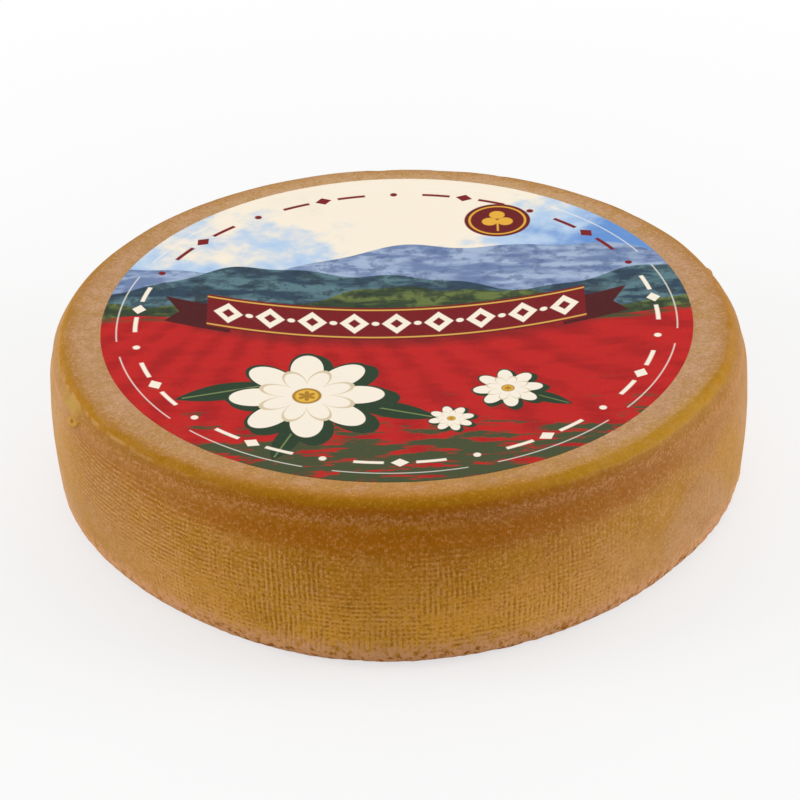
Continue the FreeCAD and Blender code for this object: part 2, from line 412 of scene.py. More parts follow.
def build_label():
    """A disc of paper: rings drawn in to the middle, given a thickness and laid on the top."""
    edge = LABEL_RADIUS - LABEL_TRIM
    label = start_ring("label_sheet", edge, 0, LABEL_STEPS_AROUND)
    inner = (0.996, 0.985, 0.96, 0.92, 0.86, 0.78, 0.68, 0.56, 0.42, 0.26, 0.12)
    draw_rings([(edge * share, 0) for share in inner], edge, 0)
    close_ring()
    finish_mesh(label)
    for vertex in label.data.vertices:
        spot = vertex.co
        spot.x += LABEL_MIDDLE.x
        spot.y += LABEL_MIDDLE.y
        out = math.hypot(spot.x - LABEL_MIDDLE.x, spot.y - LABEL_MIDDLE.y) / edge
        cockle = waves(Vector((spot.x, spot.y, 0)), 19, (2, 8, 4))
        lift = LABEL_LIFT * (1 + cockle) * smooth_step(0.8, 1.0, out)
        spot.z = HEIGHT - TOP_DISH + LABEL_GAP + lift
    apply_modifier(label, "SOLIDIFY", thickness=PAPER_SHARE * LABEL_THICKNESS, offset=1)
    return label


# ---------------------------------------------------------------------------------------------
# Materials
# ---------------------------------------------------------------------------------------------

def colour(red, green, blue):
    """A colour given as it is seen, 0 to 255, in the linear values that the shader takes."""
    def linear(value):
        value /= 255
        return value / 12.92 if value <= 0.04045 else ((value + 0.055) / 1.055) ** 2.4
    return (linear(red), linear(green), linear(blue), 1)


class Nodes:
    """Short calls for the nodes of one tree."""

    def __init__(self, tree):
        self.tree = tree

    def add(self, kind, settings=None, **inputs):
        """A new node with its settings; a space in an input's name is written as _."""
        node = self.tree.nodes.new(kind)
        for key, value in (settings or {}).items():
            setattr(node, key, value)
        for key, value in inputs.items():
            self.set(node.inputs[key.replace("_", " ")], value)
        return node

    def set(self, socket, value):
        """Links another node's output to a socket, or gives the socket a value of its own."""
        if isinstance(value, bpy.types.NodeSocket):
            self.tree.links.new(value, socket)
        else:
            socket.default_value = value

    def math(self, operation, first, second=0.0, third=0.0, clamp=False):
        node = self.add("ShaderNodeMath", {"operation": operation, "use_clamp": clamp})
        for socket, value in zip(node.inputs, (first, second, third)):
            self.set(socket, value)
        return node.outputs[0]

    def plus(self, first, second):
        return self.math("ADD", first, second)

    def minus(self, first, second):
        return self.math("SUBTRACT", first, second)

    def times(self, first, second):
        return self.math("MULTIPLY", first, second)

    def vector_math(self, operation, first, second=(0, 0, 0)):
        """The outputs of a sum on vectors: Vector, or Value where the result is one number."""
        node = self.add("ShaderNodeVectorMath", {"operation": operation})
        self.set(node.inputs[0], first)
        self.set(node.inputs[1], second)
        return node.outputs

    def rise(self, value, low, high, full=None):
        """0 below low, full (or 1) above high, smooth between; it falls if low is above high."""
        if low > high:
            rising = self.minus(1.0, self.rise(value, high, low))
        else:
            rising = self.add("ShaderNodeMapRange", {"interpolation_type": "SMOOTHSTEP"},
                              Value=value, From_Min=low, From_Max=high).outputs[0]
        return rising if full is None else self.times(rising, full)

    def hump(self, value, low, low_full, high_full, high):
        """1 between low_full and high_full, falling smoothly to 0 at low and high."""
        return self.times(self.rise(value, low, low_full), self.rise(value, high, high_full))

    def vector(self, x, y, z=0.0):
        return self.add("ShaderNodeCombineXYZ", X=x, Y=y, Z=z).outputs[0]

    def mix(self, share, first, second):
        node = self.add("ShaderNodeMix", {"data_type": "RGBA"})
        self.set(node.inputs["Factor"], share)
        self.set(node.inputs[6], first)
        self.set(node.inputs[7], second)
        return node.outputs[2]

    def bump(self, height, distance, strength):
        node = self.add("ShaderNodeBump", Height=height, Distance=distance, Strength=strength)
        return node.outputs[0]


class MaterialNodes(Nodes):
    """The nodes of a new material: its shader, and spots in the object's own coordinates."""

    def __init__(self, name):
        self.material = bpy.data.materials.new(name)
        self.material.use_nodes = True
        super().__init__(self.material.node_tree)
        self.shader = self.tree.nodes["Principled BSDF"]
        self.spot = self.add("ShaderNodeTexCoord").outputs["Object"]
        self.x, self.y, self.z = self.add("ShaderNodeSeparateXYZ", Vector=self.spot).outputs

    def noise(self, size, detail, roughness, seed, at=None):
        """Noise about 0.5, with features of a size in metres, or in the unit that at is in."""
        at = self.spot if at is None else at
        moved = self.vector_math("ADD", at, (seed, seed * 0.37, -seed * 0.61))
        node = self.add(
            "ShaderNodeTexNoise", Vector=moved["Vector"], Scale=1 / size, Detail=detail,
            Roughness=roughness)
        return node.outputs["Fac"]

    def swing(self, reach, *noise_settings):
        """Noise about 0, as a swing of up to half its reach either way."""
        return self.times(self.minus(self.noise(*noise_settings), 0.5), reach)

    def finish(self, **inputs):
        """Sets the shader's inputs, and gives the material."""
        for key, value in inputs.items():
            self.set(self.shader.inputs[key.replace("_", " ")], value)
        return self.material


# ---------------------------------------------------------------------------------------------
# The rind
# ---------------------------------------------------------------------------------------------

# The pebbling, and the cloth's threads: their pitch up the wall, and how many go round it.
PEBBLE = 1.1 * MM
THREAD_PITCH = 2.2 * MM
THREADS_ROUND = 418


class Rind:
    """The rind's colour, laid on coat by coat, and the patterns that the coats share.

    place counts down the edge from the crest of the rim, in millimetres.  bearing counts round
    the wheel, in radians.
    """

    def __init__(self, n):
        self.n = n
        note = n.add("ShaderNodeAttribute", {"attribute_name": PLACE_NOTE})
        self.place = n.times(note.outputs["Fac"], 1 / MM)
        self.bearing = n.math("ARCTAN2", n.x, n.times(n.y, -1.0))
        self.off_front = n.math("ABSOLUTE", n.plus(self.bearing, 0.06))
        self.front = n.rise(self.off_front, 1.14, 0.12)
        self.on_left = n.hump(self.bearing, -2.2, -1.7, -0.95, -0.35)
        self.on_right = n.hump(self.bearing, 0.10, 0.75, 1.0, 1.5)
        self.ragged = n.swing(5.0, 6 * MM, 5, 0.6, 2.2)
        self.rough_place = n.plus(self.place, self.ragged)
        self.thin_place = self.roughened(0.4)
        self.broad = n.noise(42 * MM, 3, 0.5, 1.3)
        self.blotches = n.noise(12 * MM, 5, 0.62, 4.1)
        self.rubbed = n.noise(7 * MM, 3, 0.6, 3.3)
        self.fleck = n.noise(2.6 * MM, 3, 0.6, 7.2)
        self.speckle = self.pebbling()
        self.coat = None

    def roughened(self, share):
        """The place with a share of the raggedness, for the edge of a coat."""
        return self.n.plus(self.place, self.n.times(self.ragged, share))

    def pebbling(self):
        """Small pebbles, each higher or lower than the rest, under a finer noise."""
        n = self.n
        pebbles = n.add("ShaderNodeTexVoronoi", Vector=n.spot, Scale=1 / PEBBLE)
        peak = n.math("MULTIPLY_ADD", pebbles.outputs["Distance"], -1.35, 1.0, clamp=True)
        lot = n.add("ShaderNodeSeparateColor", Color=pebbles.outputs["Color"]).outputs[0]
        heights = n.times(n.minus(lot, 0.5), n.times(peak, 0.75))
        return n.plus(heights, n.noise(1.3 * MM, 3, 0.75, 5.0))

    def lay(self, share, ink):
        """Lays a colour over the coats that are there."""
        self.coat = self.n.mix(share, self.coat, ink)


def wall_crust_and_painted_light(r):
    """The crust of the wall: deeper and yellower in front, where it is painted shade, and paler
    and pinker to the sides, where it is painted sheen and side light.
    """
    n = r.n
    # Lighter towards the foot: partly a bloom that grows there, partly painted light from the
    # floor's bounce, with painted shade at the top of the wall under the rim.
    down = n.rise(r.place, 10.0, 68.0)
    left = n.mix(down, colour(163, 113, 56), colour(179, 133, 77))
    right = n.mix(down, colour(170, 121, 68), colour(188, 143, 98))
    side = n.mix(r.on_left, right, left)
    # Paler again where the wall turns away at either side and is seen edge-on: painted sheen.
    outer = n.plus(n.rise(r.bearing, -1.1, -1.4), n.rise(r.bearing, 1.1, 1.4, 0.4))
    side = n.mix(outer, side, colour(193, 148, 98))
    # The front's deeper colour is painted shade, where the lamps barely reach.
    front = n.mix(down, colour(168, 102, 6), colour(218, 157, 54))
    crust = n.mix(r.front, side, front)
    olive = n.rise(n.plus(r.broad, n.times(r.blotches, 0.35)), 0.60, 0.82, 0.6)
    crust = n.mix(n.times(olive, n.rise(r.place, 14.0, 30.0)), crust, colour(176, 126, 24))
    crust = n.mix(n.rise(r.blotches, 0.5, 0.72, 0.40), crust, colour(198, 140, 82))
    return n.mix(n.rise(r.blotches, 0.5, 0.3, 0.35), crust, colour(156, 100, 16))


def top_bloom(r):
    """The pinkish bloom of the flat top, rubbed to ochre towards the rim along the front."""
    n = r.n
    top = n.mix(r.front, colour(190, 147, 108), colour(190, 136, 76))
    top = n.mix(n.rise(r.off_front, 1.9, 2.8), top, colour(200, 160, 115))
    top = n.mix(n.times(r.on_left, 0.4), top, colour(186, 138, 84))
    top = n.mix(n.rise(r.blotches, 0.45, 0.7, 0.55), top, colour(204, 162, 126))
    top = n.mix(n.rise(r.broad, 0.5, 0.35, 0.4), top, colour(178, 134, 76))
    top = n.mix(n.rise(r.rubbed, 0.50, 0.64, 0.5), top, colour(182, 138, 72))
    top = n.mix(n.rise(r.rubbed, 0.47, 0.34, 0.45), top, colour(208, 158, 128))
    to_rim = n.rise(r.roughened(0.8), -11.0, -1.5)
    rubbing = n.plus(0.25, n.rise(r.off_front, 1.9, 1.3, 0.20))
    to_rim = n.times(to_rim, n.plus(rubbing, n.times(r.front, 0.52)))
    return n.mix(to_rim, top, colour(178, 118, 30))


def lay_painted_shade_under_crest(r):
    """Painted shade under the crest: a brown band, pinker and longer on the right."""
    n = r.n
    crest_shade = n.minus(n.plus(0.42, n.times(r.front, 0.48)), n.times(r.on_left, 0.08))
    crest_shade = n.times(crest_shade, n.hump(r.thin_place, 0.6, 2.2, 6.5, 11.0))
    r.lay(crest_shade, n.mix(r.front, colour(154, 106, 26), colour(158, 90, 0)))
    # A longer, pinker band of painted shade below the crest on the right.
    right_crest_shade = n.hump(r.bearing, 0.05, 0.30, 0.72, 1.05)
    right_crest_shade = n.times(right_crest_shade, n.hump(r.roughened(0.9), 3, 7, 17, 26))
    r.lay(n.times(right_crest_shade, 0.55), colour(152, 92, 42))


def lay_crest(r):
    """The crest, rubbed to a wandering yellow line with a yellow tint above it, and with a painted
    highlight along it on the left.

    Gives the share of the line.
    """
    n = r.n
    wander = n.swing(7.0, 26 * MM, 3, 0.55, 8.4)
    aside = n.minus(n.times(r.on_right, 1.8), r.on_left)
    inner = n.plus(n.plus(r.thin_place, wander), aside)
    yellow = n.mix(r.on_right, colour(164, 108, 2), colour(178, 128, 24))
    yellow = n.mix(r.on_left, yellow, colour(168, 114, 10))
    tint = n.times(n.rise(inner, -9.5, -2.5), n.rise(r.thin_place, 3.0, 0.5))
    tint = n.times(tint, n.plus(0.28, n.times(n.plus(r.on_right, r.on_left), 0.16)))
    r.lay(tint, n.mix(r.on_right, yellow, colour(192, 148, 58)))
    outer = n.plus(r.thin_place, n.plus(r.on_right, n.times(wander, 0.3)))
    crest = n.times(n.rise(inner, -4.0, -1.8), n.rise(outer, 3.4, 0.8))
    strong = n.plus(0.35, n.rise(r.blotches, 0.36, 0.60, 0.55))
    strong = n.times(strong, n.plus(0.6, n.rise(r.off_front, 2.0, 1.2, 0.4)))
    r.lay(n.times(crest, strong), yellow)
    # A painted highlight: a pale line along the crest on the left, broken up by the rubbed noise.
    left_crest_highlight = n.times(r.on_left, n.rise(r.rubbed, 0.4, 0.6))
    left_crest_highlight = n.times(n.hump(r.thin_place, 0.4, 1.2, 1.8, 2.8), left_crest_highlight)
    r.lay(n.times(left_crest_highlight, 0.45), colour(206, 158, 104))
    return crest


def lay_cove(r):
    """The bloom that clings in the cove, and the brown crease of the lid below it, partly the
    rind's own colour and partly painted shade, deepest along the front.
    """
    n = r.n
    in_cove = n.times(n.hump(r.rough_place, 4.5, 6.5, 8.5, 11.0), n.rise(r.speckle, 0.35, 0.65))
    r.lay(n.times(in_cove, 0.55), colour(192, 132, 82))
    # The crease's brown: partly the rind's own colour, partly painted shade in the crease,
    # strongest along the front.
    crease_tint_and_shade = n.hump(r.roughened(0.6), 10.5, 13.0, 16.0, 23.0)
    r.lay(n.times(crease_tint_and_shade, n.plus(0.15, n.times(r.front, 0.65))), colour(160, 91, 0))


def lay_cloth(r):
    """The imprint of the cloth: threads up the wall and round it, deeper in some places, with
    painted highlight and shade on it.

    On the left only the threads round it have left their lines.  Gives the threads' height.
    """
    n = r.n
    waver = n.swing(9.0, 20 * MM, 3, 0.5, 6.0)
    upright = n.math("SINE", n.math("MULTIPLY_ADD", r.bearing, THREADS_ROUND, waver))
    sway = n.swing(9.0, 24 * MM, 3, 0.5, 9.0)
    level = n.math("SINE", n.math("MULTIPLY_ADD", n.z, 2 * math.pi / THREAD_PITCH, sway))
    broken = n.noise(2.0 * MM, 3, 0.65, 3.7, n.vector(n.x, n.y, n.times(n.z, 0.5)))
    broken = n.plus(0.10, n.rise(broken, 0.38, 0.60, 1.5))
    pressed = n.rise(n.noise(24 * MM, 3, 0.5, 3.0), 0.34, 0.58)
    pressed = n.plus(n.times(pressed, 0.70), 0.45)
    pressed = n.times(pressed, n.hump(r.rough_place, 13.0, 33.0, 62.0, 80.0))
    both = n.plus(n.rise(r.off_front, 1.0, 0.35), n.rise(r.off_front, 1.9, 2.5))
    left = n.hump(r.bearing, -1.42, -1.05, -0.75, -0.40)
    left = n.times(left, n.hump(r.place, 10.0, 15.0, 40.0, 56.0))
    lean = n.plus(0.25, n.rise(n.noise(28 * MM, 2, 0.5, 4.8), 0.4, 0.6, 0.55))
    cloth = n.plus(level, n.times(n.minus(upright, level), lean))
    cloth = n.times(n.times(cloth, both), pressed)
    cloth = n.times(n.plus(cloth, n.times(n.times(level, left), 0.55)), broken)
    # Paler on the raised threads, partly bloom and partly a painted highlight, and darker between
    # them, painted shade in the grooves.
    thread_bloom_and_highlight = n.mix(n.rise(r.rubbed, 0.42, 0.58), colour(216, 164, 70), colour(212, 156, 100))
    r.lay(n.rise(cloth, 0.0, 0.9, 0.52), thread_bloom_and_highlight)
    r.lay(n.rise(cloth, 0.0, -1.0, 0.58), colour(140, 84, 0))
    return cloth


def lay_grain(r, crest):
    """The fine pebbling all over, pinker on its tops and browner in its pits."""
    n = r.n
    pink = n.mix(r.front, colour(214, 168, 126), colour(212, 156, 92))
    pink = n.mix(crest, pink, colour(204, 154, 60))
    on_wall = n.rise(r.place, 2.0, 8.0)
    on_top = n.rise(r.place, -1.0, -6.0)
    grain = n.plus(0.66, n.times(r.front, 0.34))
    bright = n.times(n.plus(0.34, n.rise(r.place, 14.0, 26.0, 0.20)), grain)
    bright = n.plus(bright, n.times(on_top, 0.40))
    dark = n.times(n.plus(0.22, n.times(on_wall, 0.34)), grain)
    dark = n.plus(dark, n.times(on_top, 0.40))
    pits = n.mix(r.front, colour(158, 102, 30), colour(144, 90, 4))
    pits = n.mix(on_top, pits, colour(170, 120, 62))
    r.lay(n.rise(r.speckle, 0.49, 0.74, bright), pink)
    r.lay(n.rise(r.speckle, 0.49, 0.26, dark), pits)
    r.lay(n.rise(r.fleck, 0.54, 0.74, 0.2), pink)


def lay_nicks(r):
    """Short brown nicks that run round the wall.  Gives their share."""
    n = r.n
    spread = n.vector(n.times(r.bearing, RADIUS / (4.2 * MM)), n.times(r.place, 1 / 1.3))
    nicks = n.rise(n.noise(1.0, 2, 0.5, 2.9, spread), 0.70, 0.76)
    r.lay(n.times(nicks, n.rise(r.place, 5.0, 12.0, 0.6)), colour(134, 82, 12))
    return nicks


def lay_foot(r):
    """The pink and crumbly foot."""
    n = r.n
    foot = n.times(n.rise(r.rough_place, 61.0, 69.0), n.rise(r.fleck, 0.35, 0.55))
    r.lay(n.times(foot, 0.75), colour(214, 158, 116))
    crumbs = n.times(n.rise(r.rough_place, 65.0, 72.0), n.rise(r.fleck, 0.52, 0.35))
    crumbs = n.times(crumbs, n.plus(0.2, n.rise(r.bearing, -0.9, -0.5, 0.8)))
    r.lay(crumbs, colour(146, 84, 20))


def lay_blister(r, blister):
    """The blister, a waxy ring of rind that is open above, with a painted shadow round its closed
    lower side, under a yellow fold by the crest.
    """
    n = r.n
    fold = n.hump(n.plus(r.bearing, n.times(r.ragged, 0.02)), BLISTER_BEARING - 0.15,
                  BLISTER_BEARING - 0.07, BLISTER_BEARING, BLISTER_BEARING + 0.08)
    fold = n.times(fold, n.hump(r.thin_place, 1.0, 2.4, 6.0, 8.5))
    fold = n.times(fold, n.plus(0.35, n.rise(r.rubbed, 0.4, 0.6, 0.45)))
    r.lay(fold, colour(186, 148, 70))
    away = n.vector_math("SUBTRACT", n.spot, blister)["Vector"]
    ahead = (math.cos(BLISTER_BEARING) / MM, math.sin(BLISTER_BEARING) / MM)
    along = (BLISTER_NARROWING * ahead[0], BLISTER_NARROWING * ahead[1], 0)
    along = n.vector_math("DOT_PRODUCT", away, along)["Value"]
    below = (BLISTER_LEAN * ahead[0], BLISTER_LEAN * ahead[1], -1 / MM)
    below = n.vector_math("DOT_PRODUCT", away, below)["Value"]
    gap = n.math("SQRT", n.plus(n.times(along, along), n.times(below, below)))
    gap = n.plus(gap, n.times(r.ragged, 0.15))
    closed = n.rise(n.minus(n.times(along, 0.6), n.times(below, 0.8)), 1.9, 0.8)
    ring = n.times(n.hump(gap, 0.9, 1.5, 2.4, 3.2), n.plus(0.15, n.times(closed, 0.75)))
    # A painted shadow: a brown band round the ring's lower, closed side.
    r.lay(n.times(n.hump(gap, 2.5, 3.1, 3.4, 4.3), n.times(closed, 0.6)), colour(160, 108, 26))
    r.lay(ring, colour(200, 150, 52))
    r.lay(n.rise(gap, 1.6, 0.7, 0.8), colour(152, 94, 16))


def rind_material(blister):
    """Washed rind: a tan crust, pinkish bloom, a rubbed yellow rim and the imprint of cloth, with
    painted light and shade on the wall and under the crest.
    """
    n = MaterialNodes("washed_rind")
    r = Rind(n)
    r.coat = n.mix(n.rise(r.roughened(0.3), -1.2, 0.8), top_bloom(r), wall_crust_and_painted_light(r))
    lay_painted_shade_under_crest(r)
    crest = lay_crest(r)
    lay_cove(r)
    cloth = lay_cloth(r)
    lay_grain(r, crest)
    nicks = lay_nicks(r)
    lay_foot(r)
    lay_blister(r, blister)
    relief = n.plus(n.times(cloth, 0.30), n.times(r.speckle, 0.6))
    crumbs = n.times(n.rise(r.rough_place, 63.0, 70.0), r.fleck)
    relief = n.plus(relief, n.times(crumbs, 2.2))
    relief = n.plus(relief, n.times(n.noise(4.5 * MM, 4, 0.6, 8.0), 1.4))
    relief = n.minus(relief, n.times(nicks, 0.5))
    return n.finish(
        Base_Color=r.coat,
        Normal=n.bump(relief, 0.45 * MM, 0.7),
        Roughness=n.plus(0.52, n.times(r.speckle, 0.25)),
        Specular_IOR_Level=0.06,
        Sheen_Weight=0.02,
        Sheen_Roughness=0.3)


# ---------------------------------------------------------------------------------------------
# The label's print
# ---------------------------------------------------------------------------------------------

CREAM = colour(255, 243, 222)
LEAF_GREEN = colour(34, 56, 34)


class Print:
    """The label's printed design: u to the right and v away from the reader, 1 at its edge."""

    def __init__(self, n):
        self.n = n
        self.u = n.times(n.minus(n.x, LABEL_MIDDLE.x), 1 / LABEL_RADIUS)
        self.v = n.times(n.minus(n.y, LABEL_MIDDLE.y), 1 / LABEL_RADIUS)
        self.spot = n.vector(self.u, self.v)
        self.out = self.distance(0, 0)
        self.ink = None

    def distance(self, u, v):
        return self.n.vector_math("DISTANCE", self.spot, (u, v, 0))["Value"]

    def below(self, value, limit, soft=0.004):
        """1 where a value is under a limit, with the soft edge of a printed dot screen."""
        n = self.n
        return n.math("MULTIPLY_ADD", n.minus(limit, value), 1 / soft, 0.5, clamp=True)

    def above(self, value, limit):
        """1 where a value is over a limit."""
        return self.below(self.n.times(value, -1), -limit)

    def lay(self, shape, ink):
        """Prints an ink over what is there, where the shape is 1."""
        self.ink = self.n.mix(shape, self.ink, ink)

    def wave(self, middle, *parts):
        """A level of v that rolls across u: (height, pulse, phase) for each part."""
        n = self.n
        level = middle
        for height, pulse, phase in parts:
            swing = n.math("SINE", n.math("MULTIPLY_ADD", self.u, pulse, phase))
            level = n.math("MULTIPLY_ADD", swing, height, level)
        return level

    def petals(self, u, v, count, reach, depth, turn=0.0):
        """1 inside a flower of pointed petals; depth is how far in the notches go."""
        n = self.n
        across, along = n.minus(self.u, u), n.minus(self.v, v)
        angle = n.math("MULTIPLY_ADD", n.math("ARCTAN2", across, along), count / 2, turn)
        lobe = n.math("POWER", n.math("ABSOLUTE", n.math("COSINE", angle)), 0.75)
        edge = n.math("MULTIPLY_ADD", lobe, reach * depth, reach * (1 - depth))
        return self.below(self.distance(u, v), edge)


def print_sky(p):
    """A cream and pale blue sky with soft clouds."""
    n = p.n
    drift = n.noise(0.5, 4, 0.55, at=p.spot, seed=2.7)
    puffs = n.noise(0.16, 5, 0.6, at=p.spot, seed=5.1)
    cloud = n.plus(n.times(drift, 0.6), n.times(puffs, 0.4))
    aside = n.math("ABSOLUTE", n.plus(p.u, 0.12))
    cloud = n.minus(cloud, n.times(n.minus(aside, 0.45), 0.26))
    cloud = n.plus(cloud, n.times(n.minus(p.v, 0.55), 0.22))
    blue = n.mix(n.rise(cloud, 0.30, 0.46), colour(104, 150, 214), colour(190, 214, 240))
    p.ink = n.mix(n.rise(cloud, 0.44, 0.56), blue, CREAM)


def print_hills(p):
    """Three ranges of rounded hills, each paler and bluer than the one before it."""
    n = p.n
    woods = n.noise(0.05, 5, 0.65, at=p.spot, seed=1.9)
    slopes = n.noise(0.13, 3, 0.5, at=n.vector(n.times(p.u, 0.8), n.times(p.v, 2.2)), seed=8.3)

    far = p.wave(0.44, (0.085, 3.1, 0.5), (0.03, 7.7, 2.0), (0.012, 17.0, 1.0))
    haze = n.mix(n.rise(slopes, 0.4, 0.62), colour(112, 132, 172), colour(168, 186, 214))
    haze = n.mix(n.times(n.rise(woods, 0.5, 0.62), 0.6), haze, colour(84, 104, 146))
    p.lay(p.below(p.v, far), haze)

    middle = p.wave(0.30, (0.075, 3.9, 3.2), (0.025, 9.1, 0.4), (0.01, 23.0, 2.0))
    teal = n.mix(n.rise(slopes, 0.42, 0.6), colour(44, 66, 84), colour(92, 124, 132))
    teal = n.mix(n.times(n.rise(woods, 0.48, 0.6), 0.7), teal, colour(36, 52, 62))
    p.lay(p.below(p.v, middle), teal)

    near = p.wave(0.17, (0.06, 4.6, 1.1), (0.02, 11.0, 2.6), (0.008, 31.0, 0.0))
    green = n.mix(n.rise(slopes, 0.42, 0.6), colour(46, 62, 38), colour(104, 118, 62))
    green = n.mix(n.times(n.rise(woods, 0.46, 0.58), 0.75), green, colour(34, 46, 36))
    p.lay(p.below(p.v, near), green)


def print_field(p):
    """A red field in the foreground, drawn in furrows that run towards one far point."""
    n = p.n
    edge = p.wave(0.02, (0.05, 3.3, 4.1), (0.015, 13.0, 0.7))
    grain = n.noise(0.10, 4, 0.6, at=n.vector(n.times(p.u, 0.6), n.times(p.v, 1.6)), seed=3.3)
    angle = n.math("ARCTAN2", n.minus(p.u, -0.35), n.minus(0.55, p.v))
    bend = n.swing(2.4, 0.4, 2, 0.5, 6.1, p.spot)
    rows = n.math("SINE", n.math("MULTIPLY_ADD", angle, 46, bend))
    red = n.mix(n.rise(n.plus(n.times(rows, 0.10), n.times(grain, 0.8)), 0.30, 0.62),
                colour(194, 30, 27), colour(168, 18, 20))
    p.lay(p.below(p.v, edge), red)
    tufts = n.noise(0.11, 5, 0.7, at=n.vector(n.times(p.u, 0.55), n.times(p.v, 2.6)), seed=9.4)
    low = n.rise(p.v, -0.52, -0.86)
    streak = n.rise(n.plus(tufts, n.times(low, 0.2)), 0.60, 0.66)
    p.lay(n.times(streak, n.rise(p.v, -0.3, -0.6)), colour(66, 74, 44))
    verge = n.hump(n.minus(edge, p.v), -0.002, 0.002, 0.012, 0.045)
    p.lay(n.times(verge, n.rise(tufts, 0.4, 0.55)), colour(60, 72, 40))


def print_ribbon(p):
    """A maroon ribbon that sags across the label, with cream lozenges and beads along it."""
    n = p.n
    maroon, dark = colour(118, 12, 18), colour(72, 6, 10)
    middle = n.math("MULTIPLY_ADD", n.times(p.u, p.u), 0.30, -0.01)
    from_middle = n.minus(p.v, middle)
    off = n.math("ABSOLUTE", from_middle)
    along = n.math("ABSOLUTE", p.u)
    # The ends, folded behind and cut to a notch.
    tail_off = n.math("ABSOLUTE", n.plus(from_middle, 0.045))
    notch = n.times(tail_off, 0.6)
    tail = n.times(p.below(tail_off, 0.082), p.below(n.minus(along, notch), 0.735))
    tail = n.times(tail, p.above(along, 0.56))
    shadow = n.times(p.below(n.math("ABSOLUTE", n.plus(from_middle, 0.03)), 0.115, 0.05),
                     p.below(along, 0.70, 0.05))
    p.lay(n.times(shadow, 0.45), colour(40, 20, 20))
    p.lay(tail, dark)
    band = n.times(p.below(off, 0.105), p.below(along, 0.64))
    p.lay(band, maroon)
    piping = n.times(n.times(band, p.below(off, 0.094)), p.above(off, 0.085))
    p.lay(piping, colour(226, 176, 84))
    step = 0.142
    share = n.minus(n.math("FRACT", n.math("MULTIPLY_ADD", p.u, 1 / step, 0.5)), 0.5)
    lozenge_at = n.times(n.math("ABSOLUTE", share), step)
    inside = p.below(along, 4.5 * step)
    diamond = n.plus(n.times(lozenge_at, 1 / 0.050), n.times(off, 1 / 0.066))
    p.lay(n.times(p.below(diamond, 1.0, 0.08), inside), CREAM)
    p.lay(n.times(p.below(diamond, 0.42, 0.08), inside), maroon)
    bead_share = n.minus(n.math("FRACT", n.times(p.u, 1 / step)), 0.5)
    bead_at = n.times(bead_share, step)
    bead = n.math("SQRT", n.plus(n.times(bead_at, bead_at), n.times(off, off)))
    p.lay(n.times(p.below(bead, 0.013), p.below(along, 4.2 * step)), CREAM)


def print_flower(p, u, v, reach, turn=0.0):
    """A cream rosette of two rows of petals on a dark green shape of its own, with a gold eye."""
    cream, shade = colour(255, 244, 226), colour(222, 204, 170)
    p.lay(p.petals(u + 0.10 * reach, v - 0.10 * reach, 8, 1.10 * reach, 0.46, turn), LEAF_GREEN)
    p.lay(p.petals(u, v, 8, 1.06 * reach, 0.48, turn), LEAF_GREEN)
    p.lay(p.petals(u, v, 8, reach, 0.52, turn), cream)
    p.lay(p.petals(u, v, 8, 0.66 * reach, 0.55, turn + math.pi / 2), shade)
    p.lay(p.petals(u, v, 8, 0.60 * reach, 0.55, turn + math.pi / 2), cream)
    p.lay(p.below(p.distance(u, v), 0.19 * reach), colour(176, 128, 40))
    p.lay(p.below(p.distance(u, v), 0.15 * reach), colour(236, 186, 70))
    p.lay(p.petals(u, v, 6, 0.12 * reach, 0.7), colour(176, 128, 40))


def print_leaf(p, u, v, length, lean):
    """A dark green pointed leaf with a paler rib, leaning by an angle from across."""
    n = p.n
    across, along = n.minus(p.u, u), n.minus(p.v, v)
    cos, sin = math.cos(lean), math.sin(lean)
    run = n.times(n.plus(n.times(across, cos), n.times(along, sin)), 1 / length)
    side = n.times(n.minus(n.times(along, cos), n.times(across, sin)), 1 / length)
    off = n.math("ABSOLUTE", side)
    bulge = n.math("MULTIPLY_ADD", n.times(run, run), -0.30, 0.30)
    p.lay(p.below(off, bulge, 0.03), LEAF_GREEN)
    rib = n.times(p.below(off, 0.02, 0.02), p.below(n.math("ABSOLUTE", run), 0.85, 0.02))
    p.lay(rib, colour(120, 136, 84))


def print_seal(p, u, v, reach):
    """A small round maroon seal with a gold ring and a gold clover."""
    n = p.n
    gold = colour(236, 178, 62)
    middle = p.distance(u, v)
    p.lay(p.below(middle, reach), colour(104, 14, 16))
    ring = n.times(p.below(middle, 0.88 * reach), p.above(middle, 0.81 * reach))
    p.lay(ring, gold)
    for turn in (90, 210, 330):
        way = math.radians(turn)
        leaf_u = u + 0.27 * reach * math.cos(way)
        leaf_v = v + 0.27 * reach * math.sin(way) + 0.06 * reach
        p.lay(p.below(p.distance(leaf_u, leaf_v), 0.235 * reach), gold)
    stem = p.below(n.math("ABSOLUTE", n.minus(p.u, u)), 0.03 * reach)
    stem = n.times(stem, n.times(p.below(p.v, v), p.above(p.v, v - 0.66 * reach)))
    p.lay(stem, gold)


